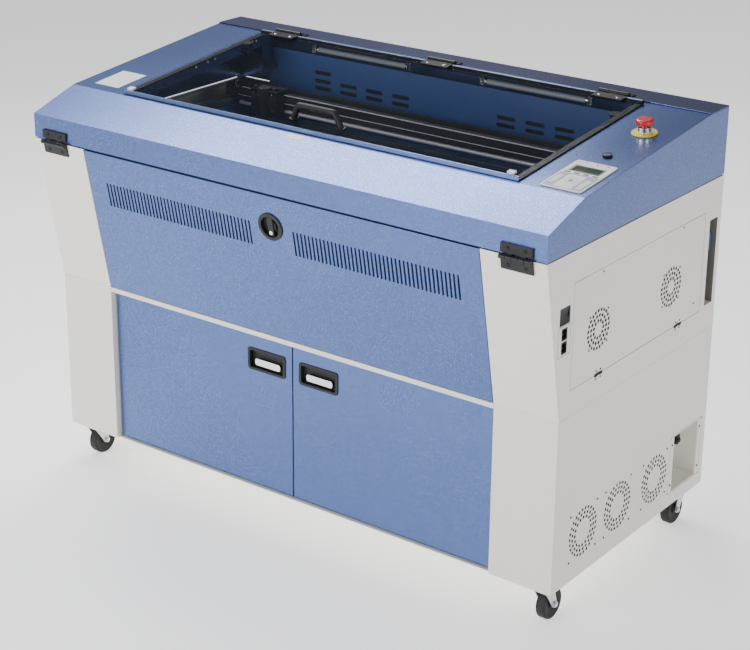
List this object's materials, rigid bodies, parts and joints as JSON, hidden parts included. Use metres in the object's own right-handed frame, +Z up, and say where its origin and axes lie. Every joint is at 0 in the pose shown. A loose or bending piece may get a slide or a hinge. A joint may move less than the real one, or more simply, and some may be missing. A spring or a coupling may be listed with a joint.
{
  "type": "laser cutter",
  "caption": "Floor-standing laser cutter: caster stand with cupboard doors, slanted drop-front body, tilting hood with a hinged smoky lid, gantry, head and lifting table.",
  "frame": {"origin": "on the floor under the middle of the object's box", "axes": "+X to the operator's right along the width, +Y from the front to the back, +Z up"},
  "size_m": [1.456, 0.837, 1.0547],
  "materials": {
    "panel_blue": "speckled metallic powder coat",
    "strip_blue": "speckled metallic powder coat",
    "panel_cream": "fine textured powder coat",
    "chamber_navy": "satin powder coat",
    "hinge_black": "satin black",
    "black_plastic": "moulded",
    "wheel_rubber": "moulded tread",
    "zinc": "bright zinc plate",
    "chrome": "polished",
    "aluminium": "anodised",
    "lid_acrylic": "clear smoky sheet",
    "lamp_diffuser": "frosted tube",
    "tube_glass": "clear glass",
    "stop_red": "moulded",
    "stop_yellow": "moulded",
    "control_white": "printed membrane",
    "display_green": "tinted window"
  },
  "bodies": {
    "cabinet": {"stand_left_side": "panel_cream", "stand_right_side": "panel_cream", "stand_base": "panel_cream", "stand_deck": "panel_cream", "service_box": "panel_cream", "body_left_side": "panel_cream", "body_right_side": "panel_cream", "back_panel": "panel_cream", "exhaust_collar": "zinc", "power_inlet": "black_plastic", "chamber_tray": "chamber_navy", "rail_left": "aluminium", "rail_right": "aluminium", "laser_tube": "tube_glass", "hood_hinge_lower_left": "hinge_black", "hood_hinge_lower_right": "hinge_black"},
    "hood": {"hood_shell": "panel_blue", "hood_rear_strip": "strip_blue", "hood_hinge_upper_left": "hinge_black", "hood_hinge_upper_right": "hinge_black", "work_lamp_left": "lamp_diffuser", "work_lamp_right": "lamp_diffuser", "control_panel": "control_white", "display_window": "display_green", "stop_collar": "stop_yellow"},
    "lid": {"lid_frame": "hinge_black", "lid_window": "lid_acrylic", "lid_handle": "black_plastic"},
    "strut_cylinders": {"strut_cylinder_left": "hinge_black", "strut_cylinder_right": "hinge_black"},
    "strut_rods": {"strut_rod_left": "chrome", "strut_rod_right": "chrome"},
    "key_lock": {"key_switch": "chrome"},
    "stop_button": {"stop_button": "stop_red"},
    "mains_switch": {"power_switch": "black_plastic"},
    "front_panel": {"front_panel": "panel_blue"},
    "front_latch": {"front_panel_latch": "black_plastic"},
    "left_door": {"left_door": "panel_blue", "left_door_pull": "black_plastic"},
    "right_door": {"right_door": "panel_blue", "right_door_pull": "black_plastic"},
    "access_panel": {"access_panel": "panel_cream"},
    "gantry": {"gantry_beam": "hinge_black"},
    "head": {"laser_head": "aluminium"},
    "table": {"work_table": "aluminium"},
    "access_rotor_1": {"access_fan_rotor_1": "black_plastic"},
    "access_rotor_2": {"access_fan_rotor_2": "black_plastic"},
    "stand_rotor_1": {"stand_fan_rotor_1": "black_plastic"},
    "stand_rotor_2": {"stand_fan_rotor_2": "black_plastic"},
    "stand_rotor_3": {"stand_fan_rotor_3": "black_plastic"},
    "fork_front_left": {"caster_fork_front_left": "zinc"},
    "wheel_front_left": {"caster_wheel_front_left": "wheel_rubber"},
    "brake_front_left": {"caster_brake_front_left": "zinc"},
    "fork_front_right": {"caster_fork_front_right": "zinc"},
    "wheel_front_right": {"caster_wheel_front_right": "wheel_rubber"},
    "brake_front_right": {"caster_brake_front_right": "zinc"},
    "fork_rear_left": {"caster_fork_rear_left": "zinc"},
    "wheel_rear_left": {"caster_wheel_rear_left": "wheel_rubber"},
    "fork_rear_right": {"caster_fork_rear_right": "zinc"},
    "wheel_rear_right": {"caster_wheel_rear_right": "wheel_rubber"}
  },
  "joints": [
    {"name": "hood_tilt", "type": "hinge", "parent": "cabinet", "child": "hood", "pos_m": [0, -0.4125, 0.874], "axis": [1, 0, 0], "range_deg": [0, 60]},
    {"name": "lid_lift", "type": "hinge", "parent": "hood", "child": "lid", "pos_m": [0, 0.26218, 1.04852], "axis": [-1, 0, 0], "range_deg": [0, 65]},
    {"name": "strut_cylinder_swing", "type": "hinge", "parent": "hood", "child": "strut_cylinders", "pos_m": [0, 0.26811, 0.94869], "axis": [-1, 0, 0], "range_deg": [0, 33]},
    {"name": "strut_rod_swing", "type": "hinge", "parent": "lid", "child": "strut_rods", "pos_m": [0, 0.1704, 1.0088], "axis": [-1, 0, 0], "range_deg": [-33, 0]},
    {"name": "key_turn", "type": "hinge", "parent": "hood", "child": "key_lock", "pos_m": [0.6505, -0.05566, 1.00236], "axis": [0, -0.1035, 0.9946], "range_deg": [0, 90]},
    {"name": "stop_press", "type": "slide", "parent": "hood", "child": "stop_button", "axis": [0, 0.1035, -0.9946], "range_m": [0, 0.005], "stiffness_N_per_m": 1500, "springref_m": -0.001},
    {"name": "mains_rock", "type": "hinge", "parent": "cabinet", "child": "mains_switch", "pos_m": [0.716, -0.326, 0.742], "axis": [0, 1, 0], "range_deg": [-9, 9]},
    {"name": "front_panel_drop", "type": "hinge", "parent": "cabinet", "child": "front_panel", "pos_m": [0, -0.3335, 0.505], "axis": [1, 0, 0], "range_deg": [0, 75]},
    {"name": "latch_turn", "type": "hinge", "parent": "front_panel", "child": "front_latch", "pos_m": [0, -0.39042, 0.79751], "axis": [0, 0.9816, 0.191], "range_deg": [0, 90]},
    {"name": "left_door_swing", "type": "hinge", "parent": "cabinet", "child": "left_door", "pos_m": [-0.56, -0.3185, 0.295], "axis": [0, 0, -1], "range_deg": [0, 95]},
    {"name": "right_door_swing", "type": "hinge", "parent": "cabinet", "child": "right_door", "pos_m": [0.56, -0.3185, 0.295], "axis": [0, 0, 1], "range_deg": [0, 95]},
    {"name": "access_panel_drop", "type": "hinge", "parent": "cabinet", "child": "access_panel", "pos_m": [0.725, -0.0065, 0.564], "axis": [0, 1, 0], "range_deg": [0, 90]},
    {"name": "access_fan_1_spin", "type": "hinge", "parent": "access_panel", "child": "access_rotor_1", "pos_m": [0.7095, -0.1865, 0.669], "axis": [1, 0, 0], "continuous": true},
    {"name": "access_fan_2_spin", "type": "hinge", "parent": "access_panel", "child": "access_rotor_2", "pos_m": [0.7095, 0.1305, 0.669], "axis": [1, 0, 0], "continuous": true},
    {"name": "stand_fan_1_spin", "type": "hinge", "parent": "cabinet", "child": "stand_rotor_1", "pos_m": [0.7095, -0.2075, 0.2], "axis": [1, 0, 0], "continuous": true},
    {"name": "stand_fan_2_spin", "type": "hinge", "parent": "cabinet", "child": "stand_rotor_2", "pos_m": [0.7095, -0.0585, 0.2], "axis": [1, 0, 0], "continuous": true},
    {"name": "stand_fan_3_spin", "type": "hinge", "parent": "cabinet", "child": "stand_rotor_3", "pos_m": [0.7095, 0.1105, 0.2], "axis": [1, 0, 0], "continuous": true},
    {"name": "gantry_travel", "type": "slide", "parent": "cabinet", "child": "gantry", "axis": [0, -1, 0], "range_m": [0, 0.38]},
    {"name": "head_travel", "type": "slide", "parent": "gantry", "child": "head", "axis": [1, 0, 0], "range_m": [-0.05, 0.94]},
    {"name": "table_lower", "type": "slide", "parent": "cabinet", "child": "table", "axis": [0, 0, -1], "range_m": [0, 0.25]},
    {"name": "swivel_front_left", "type": "hinge", "parent": "cabinet", "child": "fork_front_left", "pos_m": [-0.683, -0.2915, 0.065], "axis": [0, 0, 1], "continuous": true},
    {"name": "roll_front_left", "type": "hinge", "parent": "fork_front_left", "child": "wheel_front_left", "pos_m": [-0.683, -0.2695, 0.0375], "axis": [1, 0, 0], "continuous": true},
    {"name": "brake_front_left", "type": "hinge", "parent": "fork_front_left", "child": "brake_front_left", "pos_m": [-0.683, -0.2725, 0.0764], "axis": [1, 0, 0], "range_deg": [0, 10]},
    {"name": "swivel_front_right", "type": "hinge", "parent": "cabinet", "child": "fork_front_right", "pos_m": [0.683, -0.2915, 0.065], "axis": [0, 0, 1], "continuous": true},
    {"name": "roll_front_right", "type": "hinge", "parent": "fork_front_right", "child": "wheel_front_right", "pos_m": [0.683, -0.2695, 0.0375], "axis": [1, 0, 0], "continuous": true},
    {"name": "brake_front_right", "type": "hinge", "parent": "fork_front_right", "child": "brake_front_right", "pos_m": [0.683, -0.2725, 0.0764], "axis": [1, 0, 0], "range_deg": [0, 10]},
    {"name": "swivel_rear_left", "type": "hinge", "parent": "cabinet", "child": "fork_rear_left", "pos_m": [-0.683, 0.3145, 0.065], "axis": [0, 0, 1], "continuous": true},
    {"name": "roll_rear_left", "type": "hinge", "parent": "fork_rear_left", "child": "wheel_rear_left", "pos_m": [-0.683, 0.2925, 0.0375], "axis": [1, 0, 0], "continuous": true},
    {"name": "swivel_rear_right", "type": "hinge", "parent": "cabinet", "child": "fork_rear_right", "pos_m": [0.683, 0.3145, 0.065], "axis": [0, 0, 1], "continuous": true},
    {"name": "roll_rear_right", "type": "hinge", "parent": "fork_rear_right", "child": "wheel_rear_right", "pos_m": [0.683, 0.2925, 0.0375], "axis": [1, 0, 0], "continuous": true}
  ],
  "couplings": [
    {"joint": "strut_cylinder_swing", "follows": "lid_lift", "ratio": 0.5},
    {"joint": "strut_rod_swing", "follows": "lid_lift", "ratio": -0.5}
  ]
}
